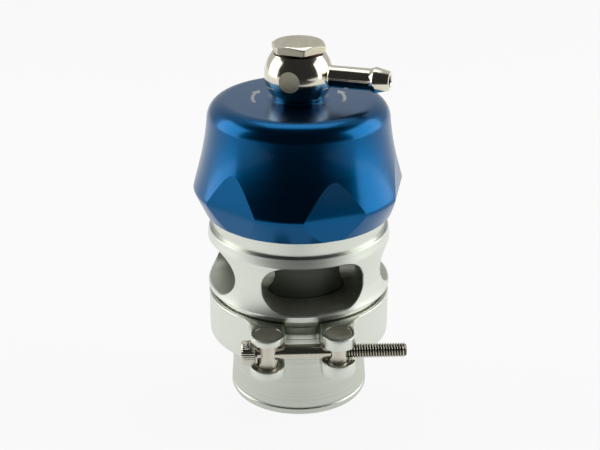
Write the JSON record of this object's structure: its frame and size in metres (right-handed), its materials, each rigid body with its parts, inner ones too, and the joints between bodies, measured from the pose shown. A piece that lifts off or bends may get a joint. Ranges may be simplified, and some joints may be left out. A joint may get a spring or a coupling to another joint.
{
  "type": "blow-off valve",
  "caption": "Piston blow-off valve: hose end and ported housing in a split clamp, screw-down domed cap that sets the spring, and a swivelling banjo spout for the vacuum line.",
  "frame": {"origin": "centre of the hose end's lower face, on the valve's axis", "axes": "+Z along the valve's axis towards the cap, -Y towards the clamp's bolt and the picture's camera, +X to the right of the picture"},
  "size_m": [0.0562, 0.0614, 0.1001],
  "materials": {
    "machined_aluminium": "fine turned, clear",
    "blue_anodised": "polished, blue anodised",
    "dark_anodised": "hard anodised, matt",
    "seal_rubber": "moulded",
    "guide_plastic": "turned bearing plastic",
    "steel": "plated",
    "spring_steel": "wound and ground",
    "bright_nickel": "polished nickel plate",
    "copper": "stamped copper",
    "satin_nickel": "satin nickel plate"
  },
  "bodies": {
    "valve_body": {"port_housing": "machined_aluminium", "hose_adapter": "machined_aluminium", "joint_ring": "seal_rubber", "clamp_ring": "machined_aluminium", "plain_trunnion": "satin_nickel", "threaded_trunnion": "satin_nickel", "cap_seal_ring": "seal_rubber"},
    "piston": {"piston": "dark_anodised", "face_seal": "seal_rubber", "seal_retainer": "dark_anodised", "retainer_screw": "steel", "piston_ring": "seal_rubber", "guide_ring": "guide_plastic", "spring": "spring_steel"},
    "spring_seat": {"spring_plate": "dark_anodised", "thrust_washer": "guide_plastic"},
    "cap": {"cap": "blue_anodised", "banjo_bolt": "bright_nickel", "lower_banjo_washer": "copper", "upper_banjo_washer": "copper"},
    "banjo": {"banjo_body": "bright_nickel"},
    "bolt_washer": {"clamp_washer": "satin_nickel"},
    "clamp_bolt": {"clamp_bolt": "satin_nickel"}
  },
  "joints": [
    {"name": "piston_lift", "type": "slide", "parent": "valve_body", "child": "piston", "axis": [0, 0, 1], "range_m": [0, 0.012], "stiffness_N_per_m": 2000, "springref_m": -0.0147, "deforming": ["spring"]},
    {"name": "preload_travel", "type": "slide", "parent": "valve_body", "child": "spring_seat", "axis": [0, 0, 1], "range_m": [-0.00451, 0.00151]},
    {"name": "cap_turn", "type": "hinge", "parent": "spring_seat", "child": "cap", "pos_m": [0, 0, 0.07], "axis": [0, 0, 1], "range_deg": [-1080, 360]},
    {"name": "banjo_swivel", "type": "hinge", "parent": "cap", "child": "banjo", "pos_m": [0, 0, 0.09155], "axis": [0, 0, 1], "continuous": true},
    {"name": "clamp_bolt_travel", "type": "slide", "parent": "valve_body", "child": "bolt_washer", "axis": [-0.9992, -0.0401, 0], "range_m": [0, 0.0042]},
    {"name": "clamp_bolt_turn", "type": "hinge", "parent": "bolt_washer", "child": "clamp_bolt", "pos_m": [0.00113, -0.02818, 0.0253], "axis": [-0.9992, -0.0401, 0], "range_deg": [0, 2162]}
  ],
  "couplings": [
    {"joint": "preload_travel", "follows": "cap_turn", "m_per_rad": 0.00023873},
    {"joint": "clamp_bolt_turn", "follows": "clamp_bolt_travel", "rad_per_m": 8976}
  ]
}
